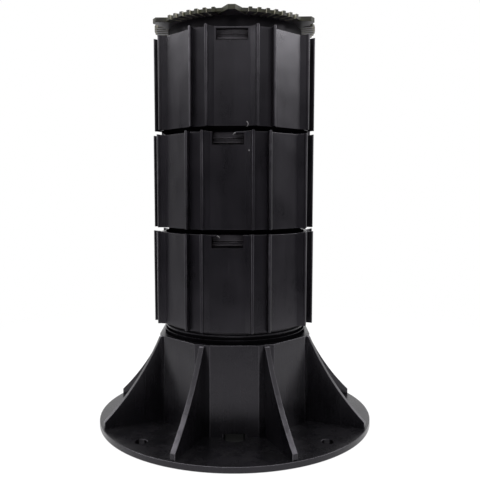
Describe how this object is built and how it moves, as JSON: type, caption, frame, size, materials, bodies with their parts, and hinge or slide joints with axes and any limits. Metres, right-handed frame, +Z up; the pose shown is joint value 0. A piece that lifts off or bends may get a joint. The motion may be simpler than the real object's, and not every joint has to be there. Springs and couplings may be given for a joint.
{
  "type": "adjustable decking pedestal",
  "caption": "Adjustable black plastic decking pedestal: a round gusseted base, ribbed screw-in extension collars and a toothed round head plate that carries a deck.",
  "frame": {"origin": "centre of the base's underside, on the pedestal's axis", "axes": "+Z up along the axis, -Y towards the front, where the collars have their windows"},
  "size_m": [0.2, 0.2, 0.2891],
  "materials": {
    "base_plastic": "satin moulded polypropylene",
    "collar_plastic": "satin moulded polypropylene",
    "head_plastic": "satin moulded polypropylene"
  },
  "bodies": {
    "base": {"base": "base_plastic"},
    "lower_collar": {"lower_collar": "collar_plastic"},
    "middle_collar": {"middle_collar": "collar_plastic"},
    "upper_collar": {"upper_collar": "collar_plastic"},
    "head": {"head": "head_plastic"}
  },
  "joints": [
    {"name": "lower_collar_lift", "type": "slide", "parent": "base", "child": "lower_collar", "axis": [0, 0, 1], "range_m": [0, 0.02]},
    {"name": "middle_collar_lift", "type": "slide", "parent": "lower_collar", "child": "middle_collar", "axis": [0, 0, 1], "range_m": [0, 0.02]},
    {"name": "upper_collar_lift", "type": "slide", "parent": "middle_collar", "child": "upper_collar", "axis": [0, 0, 1], "range_m": [0, 0.02]},
    {"name": "head_lift", "type": "slide", "parent": "upper_collar", "child": "head", "axis": [0, 0, 1], "range_m": [0, 0.02]}
  ]
}
